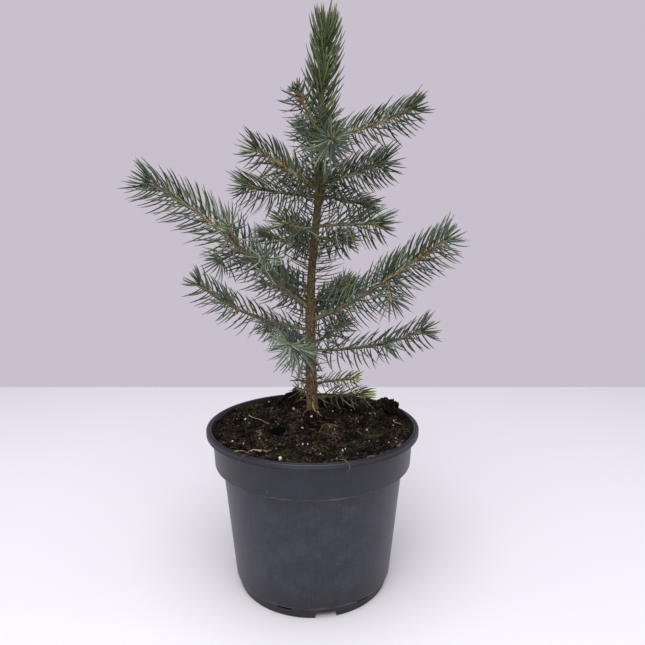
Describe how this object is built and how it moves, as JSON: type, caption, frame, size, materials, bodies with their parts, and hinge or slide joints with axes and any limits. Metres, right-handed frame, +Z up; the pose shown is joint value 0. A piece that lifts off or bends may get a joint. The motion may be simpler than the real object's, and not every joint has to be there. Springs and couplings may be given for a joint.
{
  "type": "potted blue spruce",
  "caption": "Young Colorado blue spruce, a small conifer with whorled needle-clad boughs on one trunk, growing in a round black nursery pot filled with peat.",
  "frame": {"origin": "centre of the flat underside of the pot, on the surface that the pot stands on", "axes": "+Z up along the trunk; -Y is the side that the picture was taken from; +X to the right in that view"},
  "size_m": [0.2977, 0.2184, 0.4996],
  "materials": {
    "trunk_bark": "grey-brown young bark, matt and scaly",
    "twig_bark": "straw to orange-brown twig bark, matt",
    "blue_green_needles": "blue-green needles with a waxy bloom",
    "leader_needles": "greener young needles",
    "pot_plastic": "satin black recycled plastic",
    "potting_soil": "dark loose peat"
  },
  "bodies": {
    "root": {"big_back_left_bough": "twig_bark", "big_back_left_foliage": "blue_green_needles", "big_back_right_bough": "twig_bark", "big_back_right_foliage": "blue_green_needles", "big_left_bough": "twig_bark", "big_left_foliage": "blue_green_needles", "big_right_bough": "twig_bark", "big_right_foliage": "blue_green_needles", "foot_back_foliage": "blue_green_needles", "foot_back_left_foliage": "blue_green_needles", "foot_left_foliage": "blue_green_needles", "foot_right_foliage": "blue_green_needles", "foot_right_front_foliage": "blue_green_needles", "leader_foliage": "leader_needles", "low_back_left_bough": "twig_bark", "low_back_left_foliage": "blue_green_needles", "low_back_right_bough": "twig_bark", "low_back_right_foliage": "blue_green_needles", "low_front_bough": "twig_bark", "low_front_foliage": "blue_green_needles", "low_left_bough": "twig_bark", "low_left_foliage": "blue_green_needles", "low_right_bough": "twig_bark", "low_right_foliage": "blue_green_needles", "middle_back_foliage": "blue_green_needles", "middle_back_right_foliage": "blue_green_needles", "middle_left_foliage": "blue_green_needles", "middle_left_front_bough": "twig_bark", "middle_left_front_foliage": "blue_green_needles", "middle_right_bough": "twig_bark", "middle_right_foliage": "blue_green_needles", "nursery_pot": "pot_plastic", "potting_soil": "potting_soil", "short_left_foliage": "blue_green_needles", "short_right_foliage": "blue_green_needles", "top_back_bough": "twig_bark", "top_back_foliage": "blue_green_needles", "top_back_left_foliage": "blue_green_needles", "top_front_bough": "twig_bark", "top_front_foliage": "blue_green_needles", "top_left_bough": "twig_bark", "top_left_foliage": "blue_green_needles", "top_right_bough": "twig_bark", "top_right_foliage": "blue_green_needles", "trunk": "trunk_bark", "trunk_needles": "blue_green_needles", "upper_back_bough": "twig_bark", "upper_back_foliage": "blue_green_needles", "upper_back_left_foliage": "blue_green_needles", "upper_left_bough": "twig_bark", "upper_left_foliage": "blue_green_needles", "upper_left_front_bough": "twig_bark", "upper_left_front_foliage": "blue_green_needles", "upper_right_back_foliage": "blue_green_needles", "upper_right_bough": "twig_bark", "upper_right_foliage": "blue_green_needles"}
  },
  "joints": []
}
